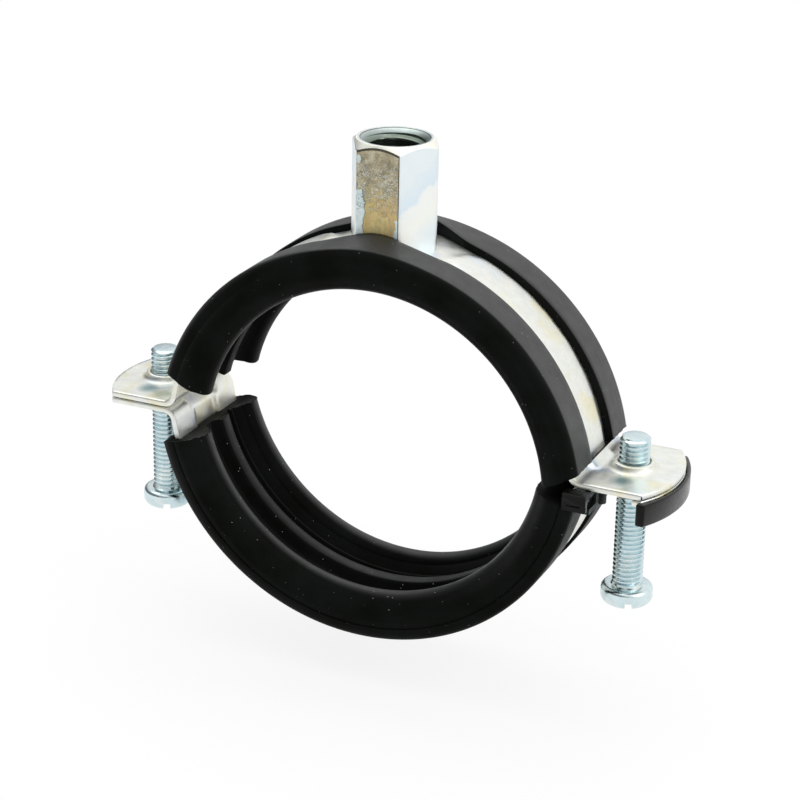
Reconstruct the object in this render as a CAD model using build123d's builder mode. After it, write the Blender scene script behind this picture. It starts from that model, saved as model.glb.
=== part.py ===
"""Two-screw pipe clamp with a rubber lining, a threaded boss and a quick-lock catch.

The origin lies where the two pairs of ears meet, midway between the screws.
Y is the axis of the pipe, X runs from screw to screw and Z points along the boss.
"""

import os
from math import atan2, cos, degrees, radians, sin, sqrt

from build123d import *

os.makedirs("parts", exist_ok=True)

# ---- Driving dimensions, in millimetres ------------------------------------------------

# Pipe and the rubber that grips it
pipe_diameter = 60.3
lining_squeeze = 0.1
lining_depth = 5.05
ring_sink = 4.1

# Steel band
band_width = 20.0
band_thickness = 1.0
bend_radius = 1.5
ear_gap = 0.1

# Ears: the screw axis lies beyond the band, the ear's corner beyond the screw axis
screw_offset = 6.1
ear_corner_margin = 4.6
ear_tip_bulge = 3.1
collar_height = 1.2
collar_wall = 0.75
collar_flare = 0.8

# Wide, shallow corner rib pressed into each bend
rib_radius = 19.5
rib_reach = 1.8
rib_half_width = 5.0

# Long rib pressed outwards between the lips, from each bend towards the crown of the half
long_rib_height = 0.5
long_rib_lip_gap = 0.4
long_rib_end_angle = 72.0

# Screws, M5
screw_diameter = 4.9
screw_length = 25.0
screw_tip_height = 6.3
screw_tip_chamfer = 0.6
head_diameter = 8.5
head_height = 3.1
head_edge_radius = 1.1
head_edge_step = 0.35
head_slot_width = 1.3
head_slot_depth = 1.3
head_slot_angle = -65.0
thread_clearance = 0.05
clearance_hole_diameter = 5.5

# Screw slot of the lower right ear: distance of its plastic faces from the screw axis
slot_inner_gap = 3.6
slot_outer_gap = 3.1
slot_end = 3.2
slot_corner_radius = 2.0

# Threaded boss, M10
boss_across_flats = 13.0
boss_height = 16.9
boss_floor = 0.6
boss_bore_diameter = 8.5
boss_mouth_diameter = 11.1
boss_corner_drop = 1.0
boss_corner_flat = 12.4

# Rubber profile, half widths along the pipe and depths from the crest
lining_half_width = 11.6
lip_edge = 4.8
lip_thickness = 1.3
lip_corner = 0.4
band_play = 0.05
crest_offset = 8.3
crest_width = 1.0
bead_slope_depth = 0.9
nose_depth = 2.6
nose_bulge = 0.5
groove_depth = 3.1
groove_edge = 4.2
bead_wall_depth = 1.0
bead_wall_offset = 6.3
middle_rib_depth = 1.3
middle_rib_width = 2.8
middle_rib_foot = 3.8

# Angles at which the rubber ends, measured from the X axis
upper_right_end_angle = 10.8
upper_left_end_angle = 163.0
lower_left_end_angle = 15.2
lower_right_end_angle = 11.0

# Plastic catch on the lower right ear
catch_play = 0.1
catch_depth = 3.9
catch_floor = 1.4
catch_liner = 0.8
catch_rim_corner_wall = 1.6
catch_rim_tip_wall = 0.6
catch_rim_side_wall = 0.7
lug_length = 3.9
lug_thickness = 1.8
lug_bevel = 0.8
lug_height = 2.9
arm_end = 3.6
nib_radius = 0.85
nib_offset = 4.6
window_length = 4.2
window_height = 1.9
window_depth = 0.7
window_offset = 0.8
window_drop = 1.0
scoring_length = 2.2
scoring_width = 0.25
scoring_drop = 2.0
lining_relief = 0.3
lining_drop = 1.5

# ---- Values that follow from them -------------------------------------------------------

crest_radius = pipe_diameter / 2 - lining_squeeze
band_inner_radius = crest_radius + lining_depth
band_outer_radius = band_inner_radius + band_thickness
lip_radius = band_outer_radius + lip_thickness
bend_outer_radius = bend_radius + band_thickness

bend_center_height = bend_outer_radius
bend_center_reach = sqrt(
    (band_inner_radius + bend_outer_radius) ** 2 - (ring_sink + bend_outer_radius) ** 2
)
bend_angle = degrees(atan2(ring_sink + bend_outer_radius, bend_center_reach))

screw_reach = band_outer_radius + screw_offset
screw_radius = screw_diameter / 2
thread_bore_radius = screw_radius + thread_clearance
collar_radius = thread_bore_radius + collar_wall
ear_corner_reach = screw_reach + ear_corner_margin
ear_reach = ear_corner_reach + ear_tip_bulge
half_band = band_width / 2
long_rib_half_width = lip_edge - long_rib_lip_gap

slot_inner_face = screw_reach - slot_inner_gap
slot_outer_face = screw_reach + slot_outer_gap
lug_inner_face = slot_inner_face - lug_length

lower_ear_top = -ear_gap
lower_ear_bottom = lower_ear_top - band_thickness
head_face_height = screw_tip_height - screw_length
catch_bottom = lower_ear_top - catch_depth

# A half is drawn with its own height axis, which points away from the ears.
upper_half = Plane.XZ
lower_half = Plane(origin=(0, 0, lower_ear_top), x_dir=(1, 0, 0), z_dir=(0, 1, 0))
ring_center = {"upper": -ring_sink, "lower": lower_ear_top + ring_sink}
band_top = ring_center["upper"] + band_outer_radius
boss_top = band_top + boss_height


# ---- Plan outlines ----------------------------------------------------------------------

def ear_outline(corner_extra=0.0, tip_extra=0.0, side_extra=0.0):
    """Plan view of a half: straight sides and rounded ear tips."""
    half_width = half_band + side_extra
    corner = ear_corner_reach + corner_extra
    tip = ear_reach + tip_extra
    with BuildLine() as outline:
        Line((-corner, -half_width), (corner, -half_width))
        ThreePointArc((corner, -half_width), (tip, 0), (corner, half_width))
        Line((corner, half_width), (-corner, half_width))
        ThreePointArc((-corner, half_width), (-tip, 0), (-corner, -half_width))
    return outline.line


def screw_slot(liner=0.0, outer_play=0.0):
    """Plan view of the slot that lets the right screw swing out to the front."""
    inner = slot_inner_face - liner
    outer = slot_outer_face + outer_play
    end = slot_end + liner
    radius = slot_corner_radius + liner
    front = -band_width
    with BuildLine() as outline:
        FilletPolyline((inner, front), (inner, end), (outer, end), (outer, front), radius=radius)
        Line((outer, front), (inner, front))
    return outline.line


# ---- Band -------------------------------------------------------------------------------

def band_strip(half):
    """Strip steel bent to a half ring with an ear at each end."""
    with BuildPart() as strip:
        with BuildSketch(half):
            with BuildLine():
                Line((-ear_reach, 0), (-bend_center_reach, 0))
                CenterArc((-bend_center_reach, bend_center_height), bend_outer_radius, 270, 90 - bend_angle)
                CenterArc((0, -ring_sink), band_inner_radius, 180 - bend_angle, 2 * bend_angle - 180)
                CenterArc((bend_center_reach, bend_center_height), bend_outer_radius, 180 + bend_angle,
                          90 - bend_angle)
                Line((bend_center_reach, 0), (ear_reach, 0))
                offset(amount=band_thickness, side=Side.LEFT)
            make_face()
        extrude(amount=half_band, both=True)
        with BuildSketch(Plane.XY):
            add(ear_outline())
            make_face()
        extrude(amount=2 * lip_radius, both=True, mode=Mode.INTERSECT)
    return strip.part


def rib_axis(half, side):
    """Plane whose normal runs along the corner rib, at 45 degrees across the bend."""
    corner_reach = sqrt(band_outer_radius ** 2 - (ring_sink + band_thickness) ** 2)
    middle_reach = corner_reach + rib_reach / 2 - rib_radius * cos(radians(45))
    middle_height = band_thickness + rib_reach / 2 - rib_radius * sin(radians(45))
    origin = half.from_local_coords(Vector(side * middle_reach, middle_height, 0))
    ahead = half.from_local_coords(Vector(side * (middle_reach - 1), middle_height + 1, 0))
    return Plane(origin=origin, z_dir=ahead - origin)


def rib_bump(half, side):
    """Outer skin of a corner rib, kept to the hollow side of the bend."""
    middle_radius = band_inner_radius + band_thickness / 2
    below = 4 * rib_radius
    with BuildPart() as bump:
        with BuildSketch(rib_axis(half, side)):
            Circle(rib_radius)
        extrude(amount=3 * rib_reach, both=True)
        with BuildSketch(half):
            with Locations((0, -ring_sink)):
                Circle(middle_radius)
            with Locations((side * band_outer_radius, band_thickness / 2)):
                Rectangle(2 * band_outer_radius, below, align=(Align.CENTER, Align.MAX))
        extrude(amount=half_band, both=True, mode=Mode.SUBTRACT)
        Box(4 * ear_reach, 2 * rib_half_width, 4 * ear_reach, mode=Mode.INTERSECT)
    return bump.part


def long_rib(half, side, foot_radius, half_width, end_angle):
    """Ring sector with 45 degree flanks that rises from the foot radius, beginning at the bend."""
    first = radians(bend_angle)
    center = half.from_local_coords(Vector(0, -ring_sink, 0))
    start = half.from_local_coords(Vector(side * cos(first), sin(first) - ring_sink, 0))
    along_axis = half.z_dir * side
    top_half_width = half_width - long_rib_height
    with BuildPart() as rib:
        with BuildSketch(Plane(origin=center, x_dir=start - center, z_dir=(start - center).cross(along_axis))):
            with BuildLine():
                Polyline(
                    (foot_radius - band_thickness / 2, -half_width),
                    (foot_radius, -half_width),
                    (foot_radius + long_rib_height, -top_half_width),
                    (foot_radius + long_rib_height, top_half_width),
                    (foot_radius, half_width),
                    (foot_radius - band_thickness / 2, half_width),
                    close=True,
                )
            make_face()
        revolve(axis=Axis(center, along_axis), revolution_arc=end_angle - bend_angle)
    return rib.part


def ribbed_band(half):
    """Strip with ribs pressed into it at the bends and along the ring, hollow on the pipe side."""
    flank_inset = band_thickness * (sqrt(2) - 1)
    hollow_end_angle = long_rib_end_angle - degrees(band_thickness / band_outer_radius)
    with BuildPart() as band:
        add(band_strip(half))
        for side in (-1, 1):
            add(rib_bump(half, side))
            add(long_rib(half, side, band_outer_radius, long_rib_half_width, long_rib_end_angle))
            add(long_rib(half, side, band_inner_radius, long_rib_half_width - flank_inset, hollow_end_angle),
                mode=Mode.SUBTRACT)
        for side in (-1, 1):
            with BuildSketch(rib_axis(half, side)):
                Circle(rib_radius - band_thickness)
                Rectangle(4 * rib_radius, 2 * (rib_half_width - band_thickness), mode=Mode.INTERSECT)
            extrude(amount=3 * rib_reach, both=True, mode=Mode.SUBTRACT)
    return band.part


with BuildPart() as upper_band:
    add(ribbed_band(upper_half))
    # Collars drawn up out of the ears, tapped for the screws
    for side in (-1, 1):
        with BuildSketch(Plane.XZ):
            with BuildLine():
                Polyline(
                    (side * screw_reach, 0),
                    (side * (screw_reach + collar_radius + collar_flare), 0),
                    (side * (screw_reach + collar_radius + collar_flare), band_thickness),
                    (side * (screw_reach + collar_radius + collar_flare / 4), band_thickness + collar_flare / 4),
                    (side * (screw_reach + collar_radius), band_thickness + collar_flare),
                    (side * (screw_reach + collar_radius), band_thickness + collar_height),
                    (side * screw_reach, band_thickness + collar_height),
                    close=True,
                )
            make_face()
        revolve(axis=Axis((side * screw_reach, 0, 0), (0, 0, 1)))
    with Locations((-screw_reach, 0, 0), (screw_reach, 0, 0)):
        Cylinder(thread_bore_radius, 4 * (collar_height + band_thickness), mode=Mode.SUBTRACT)


with BuildPart() as lower_band:
    add(ribbed_band(lower_half))
    with Locations((-screw_reach, 0, 0)):
        Cylinder(clearance_hole_diameter / 2, 4 * band_thickness, mode=Mode.SUBTRACT)
    # Slot of the right ear, open to the front so that the screw can swing out
    with BuildSketch(Plane.XY.offset(lower_ear_top)):
        add(screw_slot(catch_liner + catch_play, catch_play))
        make_face()
    extrude(amount=2 * band_thickness, both=True, mode=Mode.SUBTRACT)


# ---- Rubber lining ----------------------------------------------------------------------

def lining_half_profile(side):
    """Half of the rubber section: radius along x, distance along the pipe along y."""
    def at(depth, along):
        return (crest_radius + depth, side * along)

    lip_depth = lip_radius - crest_radius
    steel_top = band_outer_radius + band_play - crest_radius
    steel_bottom = band_inner_radius - band_play - crest_radius
    Polyline(
        # Middle rib and groove
        at(steel_bottom, 0),
        at(middle_rib_depth, 0),
        at(middle_rib_depth, middle_rib_width / 2),
        at(groove_depth, middle_rib_foot / 2),
        at(groove_depth, groove_edge),
        # Bead that grips the pipe
        at(bead_wall_depth, bead_wall_offset),
        at(0, crest_offset - crest_width / 2),
        at(0, crest_offset + crest_width / 2),
        at(bead_slope_depth, (crest_offset + crest_width / 2 + lining_half_width) / 2),
        # Nose round the edge of the band
        at(nose_depth, lining_half_width + nose_bulge),
        # Lip folded over the band
        at(lip_depth - lip_corner, lining_half_width),
        at(lip_depth, lining_half_width - lip_corner),
        at(lip_depth, lip_edge),
        at(steel_top, lip_edge),
        at(steel_top, half_band + band_play),
        at(steel_bottom, half_band + band_play),
        close=True,
    )


def lining_ring(center_height, start, end):
    """Rubber section turned about the ring centre, from the start to the end angle."""
    first = radians(start)
    across = Plane(
        origin=(0, 0, center_height),
        x_dir=(cos(first), 0, sin(first)),
        z_dir=(-sin(first), 0, cos(first)),
    )
    with BuildPart() as ring:
        with BuildSketch(across):
            for side in (-1, 1):
                with BuildLine():
                    lining_half_profile(side)
                make_face()
        revolve(axis=Axis((0, 0, center_height), (0, -1, 0)), revolution_arc=end - start)
    return ring.part


with BuildPart() as upper_lining:
    add(lining_ring(ring_center["upper"], upper_right_end_angle, upper_left_end_angle))
    # The lips give way to the boss
    with BuildSketch(Plane.XY.offset(crest_radius)):
        RegularPolygon(boss_across_flats / 2 + band_play, 6, major_radius=False)
    extrude(amount=boss_top, mode=Mode.SUBTRACT)


with BuildPart() as lower_lining:
    add(lining_ring(ring_center["lower"], 180 + lower_left_end_angle, 360 - lower_right_end_angle))
    # The right end is cut back round the catch
    with BuildSketch(Plane.XZ):
        with Locations((lug_inner_face - lining_relief, catch_bottom - lining_drop)):
            Rectangle(band_width, band_width, align=(Align.MIN, Align.MIN))
    extrude(amount=band_width, both=True, mode=Mode.SUBTRACT)


# ---- Threaded boss ----------------------------------------------------------------------

with BuildPart() as connection_boss:
    with BuildSketch(Plane.XY.offset(boss_top)):
        RegularPolygon(boss_across_flats / 2, 6, major_radius=False)
    extrude(amount=-(boss_height + band_thickness))
    # Turned corners at the top
    with BuildSketch(Plane.XZ):
        with BuildLine():
            Polyline(
                (0, 0),
                (boss_across_flats, 0),
                (boss_across_flats, boss_top - boss_corner_drop),
                (boss_across_flats / sqrt(3), boss_top - boss_corner_drop),
                (boss_corner_flat / 2, boss_top),
                (0, boss_top),
                close=True,
            )
        make_face()
    revolve(axis=Axis.Z, mode=Mode.INTERSECT)
    # Foot shaped to the band
    with BuildSketch(Plane.XZ):
        with Locations((0, ring_center["upper"])):
            Circle(band_outer_radius)
    extrude(amount=boss_across_flats, both=True, mode=Mode.SUBTRACT)
    # Blind tapping bore with a 45 degree mouth
    bore_bottom = band_top + boss_floor
    mouth_depth = (boss_mouth_diameter - boss_bore_diameter) / 2
    with BuildSketch(Plane.XZ):
        with BuildLine():
            Polyline(
                (0, bore_bottom),
                (boss_bore_diameter / 2, bore_bottom),
                (boss_bore_diameter / 2, boss_top - mouth_depth),
                (boss_mouth_diameter / 2, boss_top),
                (0, boss_top),
                close=True,
            )
        make_face()
    revolve(axis=Axis.Z, mode=Mode.SUBTRACT)


# ---- Screws -----------------------------------------------------------------------------

def slotted_screw(reach):
    """Cheese head screw that enters from below, head down, at the given X."""
    head_bottom = head_face_height - head_height
    with BuildPart() as screw:
        with BuildSketch(Plane.XZ):
            with BuildLine():
                Polyline(
                    (reach, head_bottom),
                    (reach + head_diameter / 2 - head_edge_radius, head_bottom),
                    (reach + head_diameter / 2 - head_edge_step, head_bottom + head_edge_step),
                    (reach + head_diameter / 2, head_bottom + head_edge_radius),
                    (reach + head_diameter / 2, head_face_height),
                    (reach + screw_radius, head_face_height),
                    (reach + screw_radius, screw_tip_height - screw_tip_chamfer),
                    (reach + screw_radius - screw_tip_chamfer, screw_tip_height),
                    (reach, screw_tip_height),
                    (reach, head_bottom),
                )
            make_face()
        revolve(axis=Axis((reach, 0, 0), (0, 0, 1)))
        with BuildSketch(Plane.XY.offset(head_bottom)):
            with Locations(Location((reach, 0), head_slot_angle)):
                Rectangle(2 * head_diameter, head_slot_width)
        extrude(amount=head_slot_depth, mode=Mode.SUBTRACT)
    return screw.part


with BuildPart() as left_screw:
    add(slotted_screw(-screw_reach))

with BuildPart() as right_screw:
    add(slotted_screw(screw_reach))


# ---- Quick-lock catch -------------------------------------------------------------------

catch_top = lower_ear_top - catch_play
floor_top = lower_ear_bottom - catch_play
floor_bottom = floor_top - catch_floor
arm_inner_face = bend_center_reach + catch_play
arm_front = -(half_band + catch_play)
lug_front = arm_front - lug_thickness
rib_side = rib_half_width + catch_play


def keep_right_of(x):
    """Cut the sketch in hand back to the part beyond x."""
    with Locations((x, 0)):
        Rectangle(2 * ear_reach, 2 * band_width, align=(Align.MIN, Align.CENTER), mode=Mode.INTERSECT)


with BuildPart() as screw_catch:
    # Floor under the ear, clear of the corner rib
    with BuildSketch(Plane.XY.offset(floor_bottom)):
        add(ear_outline(catch_rim_corner_wall / 2, catch_play + catch_rim_tip_wall / 2, catch_play))
        make_face()
        keep_right_of(arm_inner_face)
        with Locations((arm_inner_face, 0)):
            Rectangle(2 * (slot_inner_face - catch_liner - arm_inner_face), 2 * rib_side, mode=Mode.SUBTRACT)
    extrude(amount=catch_floor)
    # Liner that stands in the steel slot
    with BuildSketch(Plane.XY.offset(floor_bottom)):
        with BuildLine():
            add(screw_slot(catch_liner, 0))
        make_face()
        Rectangle(4 * ear_reach, 2 * half_band, mode=Mode.INTERSECT)
    extrude(amount=catch_top - floor_bottom)
    # Arm and lug on the pipe side of the slot
    with BuildSketch(Plane.XY.offset(catch_bottom)):
        with Locations((slot_inner_face, arm_front)):
            Rectangle(slot_inner_face - arm_inner_face, -arm_front - arm_end, align=(Align.MAX, Align.MIN))
    extrude(amount=floor_top - catch_bottom)
    with BuildSketch(Plane.XY.offset(catch_top)):
        with Locations((slot_inner_face, lug_front)):
            Rectangle(slot_inner_face - lug_inner_face, lug_thickness, align=(Align.MAX, Align.MIN))
    extrude(amount=-lug_height)
    chamfer(edges().filter_by(Axis.X).group_by(Axis.Y)[0].sort_by(Axis.Z)[-1], length=lug_bevel)
    # Rim that follows the ear tip
    with BuildSketch(Plane.XY.offset(catch_bottom)):
        with BuildLine():
            add(ear_outline(catch_play + catch_rim_corner_wall, catch_play + catch_rim_tip_wall,
                            catch_play + catch_rim_side_wall))
        make_face()
        with BuildLine():
            add(ear_outline(catch_play, catch_play, catch_play))
        make_face(mode=Mode.SUBTRACT)
        keep_right_of(slot_outer_face)
    extrude(amount=catch_top - catch_bottom)
    # The slot itself
    with BuildSketch(Plane.XY.offset(catch_bottom)):
        add(screw_slot())
        make_face()
    extrude(amount=catch_depth, mode=Mode.SUBTRACT)
    # Nib that holds the screw
    with BuildSketch(Plane.XY.offset(catch_bottom)):
        with Locations((slot_inner_face, -nib_offset)):
            Circle(nib_radius)
    extrude(amount=catch_top - catch_bottom)
    # Window in the slot face and a scored line on the lug
    window_middle = lug_front + window_offset + window_length / 2
    with BuildSketch(Plane.YZ.offset(slot_inner_face)):
        with Locations((window_middle, catch_top - window_drop)):
            RectangleRounded(window_length, window_height, window_height / 6, align=(Align.CENTER, Align.MAX))
    extrude(amount=-window_depth, mode=Mode.SUBTRACT)
    with BuildSketch(Plane.XZ.offset(-lug_front)):
        with Locations((lug_inner_face + lug_bevel, catch_top - scoring_drop)):
            Rectangle(scoring_length, scoring_width, align=(Align.MIN, Align.CENTER))
    extrude(amount=-scoring_width, mode=Mode.SUBTRACT)

for name, piece in {
    "upper_band": upper_band,
    "lower_band": lower_band,
    "upper_lining": upper_lining,
    "lower_lining": lower_lining,
    "connection_boss": connection_boss,
    "left_screw": left_screw,
    "right_screw": right_screw,
    "screw_catch": screw_catch,
}.items():
    piece.part.label = name
    export_step(piece.part, f"parts/{name}.step")
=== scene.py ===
"""Looks of the rubber lined pipe clamp: threads, rubber profile, pressed steel and surfaces.

All lengths are in millimetres and are turned into metres when a mesh is made.
"""

from math import atan2, cos, degrees, pi, radians, sin, sqrt

import bmesh
import bpy
from mathutils import Matrix, Vector


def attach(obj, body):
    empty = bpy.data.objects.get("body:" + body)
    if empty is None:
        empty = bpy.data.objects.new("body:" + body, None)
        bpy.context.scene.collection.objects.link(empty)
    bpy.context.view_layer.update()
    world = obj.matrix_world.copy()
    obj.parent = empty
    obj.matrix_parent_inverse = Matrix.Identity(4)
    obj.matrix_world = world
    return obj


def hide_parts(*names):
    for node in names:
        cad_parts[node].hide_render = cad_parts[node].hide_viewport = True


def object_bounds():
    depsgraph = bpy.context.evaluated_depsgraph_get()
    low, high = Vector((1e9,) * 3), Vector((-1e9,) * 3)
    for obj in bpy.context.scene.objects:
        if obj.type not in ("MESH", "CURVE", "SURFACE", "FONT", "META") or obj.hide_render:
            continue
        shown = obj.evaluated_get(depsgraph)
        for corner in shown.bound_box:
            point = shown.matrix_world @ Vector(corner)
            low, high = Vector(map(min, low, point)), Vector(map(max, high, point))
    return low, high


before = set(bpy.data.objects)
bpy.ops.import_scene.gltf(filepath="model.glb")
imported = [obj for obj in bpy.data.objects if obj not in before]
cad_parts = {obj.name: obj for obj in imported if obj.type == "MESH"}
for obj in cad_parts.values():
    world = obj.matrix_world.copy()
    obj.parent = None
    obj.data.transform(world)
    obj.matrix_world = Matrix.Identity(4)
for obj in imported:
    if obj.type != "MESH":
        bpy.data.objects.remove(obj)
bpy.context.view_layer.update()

MM = 0.001

# ---- Dimensions --------------------------------------------------------------------------

# Rubber crest and steel strip. The halves' centres lie apart, because the ears touch with no pipe in
CREST_RADIUS = 30.05
BAND_INNER_RADIUS = 35.1
BAND_THICKNESS = 1.0
BAND_OUTER_RADIUS = BAND_INNER_RADIUS + BAND_THICKNESS
HALF_BAND = 10.0
RING_SINK = 4.1
EAR_GAP = 0.1

# Bend from the ring to the ear
BEND_OUTER_RADIUS = 2.5
BEND_REACH = sqrt((BAND_INNER_RADIUS + BEND_OUTER_RADIUS) ** 2 - (RING_SINK + BEND_OUTER_RADIUS) ** 2)
BEND_ANGLE = atan2(RING_SINK + BEND_OUTER_RADIUS, BEND_REACH)

# Ears and collars
SCREW_REACH = 42.2
EAR_CORNER = 46.8
EAR_BULGE = 3.1
COLLAR_TOP = 2.2
COLLAR_BORE = 2.6
COLLAR_RADIUS = 3.25
COLLAR_FLARE = 0.95
COLLAR_EDGE = 0.15
HOLE_RADIUS = 2.75
# Painted reflection of each screw on the upper ear in front of its collar: where the patch lies and its half
# sizes
SCREW_REFLECTION_Y = -6.1
SCREW_REFLECTION_HALF_WIDTH = 2.1
SCREW_REFLECTION_HALF_LENGTH = 2.3

# Slot of the lower right ear
SLOT_INNER = 37.7
SLOT_OUTER = 45.4
SLOT_END = 4.1
SLOT_CORNER = 2.8

# Heights between which holes are cut in the ears
UPPER_EAR_CUT = (-3.0, 4.0)
LOWER_EAR_CUT = (-4.0, 3.0)

# Corner rib: height, half widths at its top and foot, and how they grow through the sheet
RIB_RISE = 1.35
RIB_FLAT = 4.2
RIB_EDGE = 5.3
RIB_FLAT_GROWTH = 1.2
RIB_EDGE_GROWTH = 1.1
RIB_DROP = 1.8
RIB_CROWN = 0.012
RIB_BLEND = 0.22
RIB_ZONE = 9.0

# Long rib round the ring, with its half widths at the bend and at its far end
LONG_RIB_RISE = 0.55
LONG_RIB_START = degrees(BEND_ANGLE)
LONG_RIB_END = 73.5
LONG_RIB_TOP = (3.0, 4.2)
LONG_RIB_FLANK = 0.9

# Screws
SCREW_RADIUS = 2.45
SCREW_ROOT = 2.02
SCREW_PITCH = 0.8
SCREW_TIP = 6.3
SCREW_FACE = -19.3
HEAD_RADIUS = 4.2
HEAD_HEIGHT = 3.1
HEAD_UPPER_EDGE = 0.75
HEAD_LOWER_EDGE = 1.3
HEAD_SLOT = 1.3
HEAD_SLOT_TURN = -65.0

# Boss
BOSS_HALF_FLATS = 6.5
BOSS_CORNER = 7.38
BOSS_TOP = 48.9
BOSS_FLAT_RADIUS = 6.15
BOSS_CORNER_DROP = 1.0
BOSS_BORE = 4.25
BOSS_MOUTH = 5.55
BOSS_THREAD_ROOT = 4.95
BOSS_PITCH = 1.5
BOSS_FLOOR = 32.6

# Linings: centres, cut ends in degrees, and the ends' slant in degrees for each mm below the lip
UPPER_CENTER = (0.2, -RING_SINK)
UPPER_ENDS = (10.8, 163.0)
UPPER_SLANT = (-0.62, 0.42)
UPPER_CREASE = 0.03
LOWER_CENTER = (-0.35, RING_SINK - EAR_GAP - 0.1)
LOWER_ENDS = (195.2, 349.4)
LOWER_SLANT = (0.0, 0.0)
LOWER_CREASE = 0.26
LINING_HALF = 11.5
LIP_EDGE = 4.85
LIP_END_EDGE = 4.35
LIP_RADIUS = 37.4
LIP_LIFT = 1.6
CUT_EDGE = 0.12
HOLLOW_CENTER = (34.2, -0.5)
HOLLOW_RADIUS = 2.9
HOLLOW_TURN = (180, 252)
HOLLOW_SLOPE = [(35.8, -4.0), (38.6, -4.65)]

# Catch: lug, parts of the construction's core that the rim takes the place of, rim and tray
LUG_INNER = 34.7
LUG_OUTER = 38.6
CORE_CUTS = [(46.2, -12.5, 55.0, 12.5), (45.2, -12.5, 47.0, -4.0), (45.0, 12.5, 47.0, 9.9)]
CORE_CUT_HEIGHTS = (-5.0, -0.1)
CORE_EDGE = 0.18
RIM_BULGE = 2.5
RIM_TIP = 50.6
RIM_END = 10.85
RIM_HOOK = 46.3
RIM_TOP = -0.25
RIM_BOTTOM = -3.95
RIM_EDGE = 0.32
RIM_END_EDGE = 0.3
RIM_END_ROUND = 0.28
TRAY_HEIGHTS = (-2.6, -1.25)

# The lower half drops this far along the left screw
LOWER_DROP = 8.5


# ---- Mesh helpers ------------------------------------------------------------------------

SHARP_ANGLE = 38
WELD_DISTANCE = 0.004


def piece_from(bm, name, body, material, node=None, crease=SHARP_ANGLE):
    """Finish a bmesh in millimetres as a smooth shaded piece that rides on a body."""
    bmesh.ops.remove_doubles(bm, verts=bm.verts, dist=WELD_DISTANCE)
    bmesh.ops.dissolve_degenerate(bm, edges=bm.edges, dist=0.0005)
    bmesh.ops.recalc_face_normals(bm, faces=bm.faces)
    bmesh.ops.scale(bm, vec=(MM, MM, MM), verts=bm.verts)
    mesh = bpy.data.meshes.new(name)
    bm.to_mesh(mesh)
    bm.free()
    mesh.shade_smooth()
    mesh.set_sharp_from_angle(angle=radians(crease))
    mesh.materials.append(material)
    piece = bpy.data.objects.new(name, mesh)
    bpy.context.scene.collection.objects.link(piece)
    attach(piece, body)
    if node:
        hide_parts(node)
    return piece


def add_grid(bm, rows, close_columns=False):
    """Quads between rows of points. Returns the rows of vertices."""
    made = [[bm.verts.new(p) for p in row] for row in rows]
    for low, high in zip(made, made[1:]):
        count = len(low) if close_columns else len(low) - 1
        for i in range(count):
            j = (i + 1) % len(low)
            bm.faces.new((low[i], low[j], high[j], high[i]))
    return made


def add_cap(bm, row, material=0):
    """Close a row of vertices with triangles."""
    face = bm.faces.new(row)
    face.material_index = material
    bmesh.ops.triangulate(bm, faces=[face], ngon_method="EAR_CLIP")


def row_edges(bm, row):
    """Edges round a closed row of vertices."""
    return [bm.edges.get(pair) for pair in zip(row, row[1:] + row[:1])]


def circle(x, radius, steps=64):
    """Points in plan round a middle on the X axis."""
    return [(x + radius * cos(2 * pi * i / steps), radius * sin(2 * pi * i / steps)) for i in range(steps)]


def add_lathe(bm, profile, x, steps=72):
    """Turn a list of (radius, z) about a vertical axis at x."""
    rows = [[(px, py, z) for px, py in circle(x, radius, steps)] for radius, z in profile]
    return add_grid(bm, rows, close_columns=True)


def arc_points(center, radius, start, end, steps):
    """Points on an arc, angles in degrees."""
    return [
        (center[0] + radius * cos(radians(start + (end - start) * i / steps)),
         center[1] + radius * sin(radians(start + (end - start) * i / steps)))
        for i in range(steps + 1)
    ]


def cut_with(piece, cutter_bm):
    """Take a closed cutter, in millimetres, out of a piece."""
    bmesh.ops.recalc_face_normals(cutter_bm, faces=cutter_bm.faces)
    bmesh.ops.scale(cutter_bm, vec=(MM, MM, MM), verts=cutter_bm.verts)
    mesh = bpy.data.meshes.new("cutter")
    cutter_bm.to_mesh(mesh)
    cutter_bm.free()
    cutter = bpy.data.objects.new("cutter", mesh)
    bpy.context.scene.collection.objects.link(cutter)
    modifier = piece.modifiers.new("cut", "BOOLEAN")
    modifier.operation = "DIFFERENCE"
    modifier.solver = "EXACT"
    modifier.object = cutter
    bpy.context.view_layer.update()
    cut = bpy.data.meshes.new_from_object(piece.evaluated_get(bpy.context.evaluated_depsgraph_get()))
    piece.modifiers.clear()
    piece.data = cut
    bpy.data.objects.remove(cutter)
    cut.set_sharp_from_angle(angle=radians(SHARP_ANGLE))


def loft(first, second):
    """Closed bmesh between two outlines."""
    bm = bmesh.new()
    for row in add_grid(bm, [first, second], close_columns=True):
        bm.faces.new(row)
    return bm


def prism(outline, low, high):
    """Closed bmesh prism over a plan outline."""
    return loft(*([(x, y, z) for x, y in outline] for z in (low, high)))


def box_outline(x_low, y_first, x_high, y_second):
    """Corners of a box in plan."""
    return [(x_low, y_first), (x_high, y_first), (x_high, y_second), (x_low, y_second)]


def smooth(low, high, value):
    """Smooth step from 0 to 1 between two values."""
    t = min(1.0, max(0.0, (value - low) / (high - low)))
    return t * t * (3 - 2 * t)


# ---- Materials ---------------------------------------------------------------------------
# Numbers in the shaders are colours, ramp stops and noise scales. Scales are in features per mm.

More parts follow.
